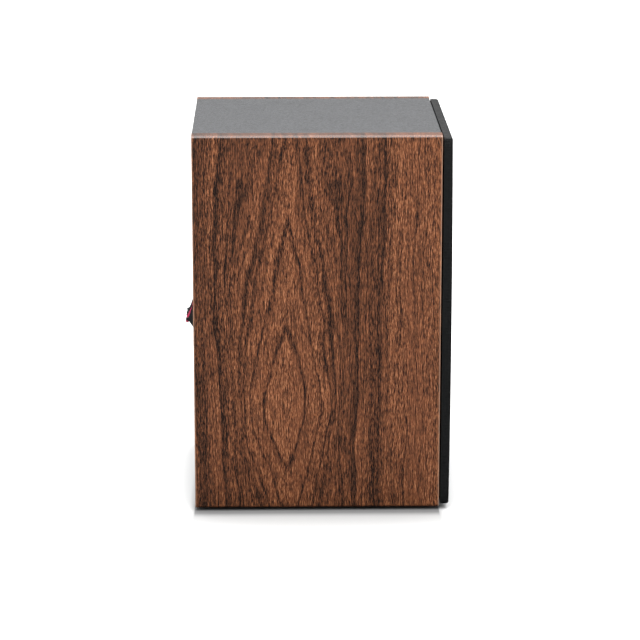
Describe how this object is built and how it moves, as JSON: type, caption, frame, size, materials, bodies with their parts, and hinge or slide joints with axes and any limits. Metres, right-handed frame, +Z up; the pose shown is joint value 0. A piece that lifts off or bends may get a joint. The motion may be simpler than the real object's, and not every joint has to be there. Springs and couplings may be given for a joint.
{
  "type": "bookshelf speaker",
  "caption": "Compact passive two-way bookshelf speaker: walnut-sided cabinet, pull-off cloth grille, cone woofer, dome tweeter, rear bass port and spring-clip terminal.",
  "frame": {"origin": "on the floor under the middle of the whole object's box", "axes": "+Z up; -Y out of the grille; +Y out of the terminal; +X to the right, seen from the front"},
  "size_m": [0.146, 0.1638, 0.236],
  "materials": {
    "walnut_vinyl": "satin walnut-grain vinyl on fibreboard",
    "black_vinyl": "fine-grained black vinyl on fibreboard",
    "black_paint": "matt black vinyl on fibreboard",
    "rubber": "matt",
    "grille_cloth": "woven, matt",
    "black_plastic": "fine-grained moulding",
    "red_plastic": "satin",
    "paper_cone": "pressed paper pulp",
    "dust_cap": "coated cloth",
    "silk_dome": "coated silk",
    "black_steel": "satin black",
    "steel": "zinc plated",
    "ferrite": "sintered, matt",
    "copper": "enamelled wire",
    "spring_brass": "bright",
    "circuit_board": "solder-masked laminate",
    "film_can": "wrapped film",
    "spider_cloth": "resin-dipped weave",
    "ceramic": "unglazed",
    "lead_jacket": "satin",
    "wadding": "fluffy"
  },
  "bodies": {
    "cabinet": {"side_board_left": "walnut_vinyl", "side_board_right": "walnut_vinyl", "top_board": "black_vinyl", "bottom_board": "black_vinyl", "front_baffle": "black_paint", "back_board": "black_vinyl", "foot_front_left": "rubber", "foot_front_right": "rubber", "foot_back_left": "rubber", "foot_back_right": "rubber", "grille_socket_left_low": "rubber", "grille_socket_left_high": "rubber", "grille_socket_right_low": "rubber", "grille_socket_right_high": "rubber", "woofer_basket": "black_steel", "woofer_gasket": "rubber", "woofer_surround": "rubber", "woofer_spider": "spider_cloth", "woofer_top_plate": "steel", "woofer_magnet": "ferrite", "woofer_back_plate": "steel", "woofer_screw_1": "black_steel", "woofer_screw_2": "black_steel", "woofer_screw_3": "black_steel", "woofer_screw_4": "black_steel", "tweeter_faceplate": "black_plastic", "tweeter_surround": "silk_dome", "tweeter_top_plate": "steel", "tweeter_magnet": "ferrite", "tweeter_back_plate": "steel", "tweeter_screw_1": "black_steel", "tweeter_screw_2": "black_steel", "tweeter_screw_3": "black_steel", "tweeter_screw_4": "black_steel", "port_tube": "black_plastic", "terminal_housing": "black_plastic", "terminal_contact_red": "spring_brass", "terminal_contact_black": "spring_brass", "terminal_screw_1": "black_steel", "terminal_screw_2": "black_steel", "crossover_board": "circuit_board", "board_spacer_left": "black_plastic", "board_spacer_right": "black_plastic", "inductor": "copper", "capacitor": "film_can", "resistor": "ceramic", "input_lead": "lead_jacket", "woofer_lead": "lead_jacket", "tweeter_lead": "lead_jacket", "damping_pad": "wadding"},
    "grille": {"grille_frame": "black_plastic", "grille_cloth": "grille_cloth"},
    "woofer_cone": {"woofer_cone": "paper_cone", "woofer_dust_cap": "dust_cap", "woofer_voice_coil": "copper"},
    "tweeter_dome": {"tweeter_dome": "silk_dome", "tweeter_voice_coil": "copper"},
    "lever_red": {"terminal_lever_red": "red_plastic"},
    "lever_black": {"terminal_lever_black": "black_plastic"}
  },
  "joints": [
    {"name": "grille_pull", "type": "slide", "parent": "cabinet", "child": "grille", "axis": [0, -1, 0], "range_m": [0, 0.03]},
    {"name": "woofer_travel", "type": "slide", "parent": "cabinet", "child": "woofer_cone", "axis": [0, -1, 0], "range_m": [-0.003, 0.003], "stiffness_N_per_m": 800, "deforming": ["woofer_surround", "woofer_spider"]},
    {"name": "tweeter_travel", "type": "slide", "parent": "cabinet", "child": "tweeter_dome", "axis": [0, -1, 0], "range_m": [-0.0003, 0.0003], "stiffness_N_per_m": 400, "deforming": ["tweeter_surround"]},
    {"name": "lever_red_press", "type": "hinge", "parent": "cabinet", "child": "lever_red", "pos_m": [-0.00785, 0.0762, 0.1163], "axis": [-1, 0, 0], "range_deg": [0, 14], "stiffness_Nm_per_rad": 0.05, "springref_deg": -5.73},
    {"name": "lever_black_press", "type": "hinge", "parent": "cabinet", "child": "lever_black", "pos_m": [0.00785, 0.0762, 0.1163], "axis": [-1, 0, 0], "range_deg": [0, 14], "stiffness_Nm_per_rad": 0.05, "springref_deg": -5.73}
  ]
}
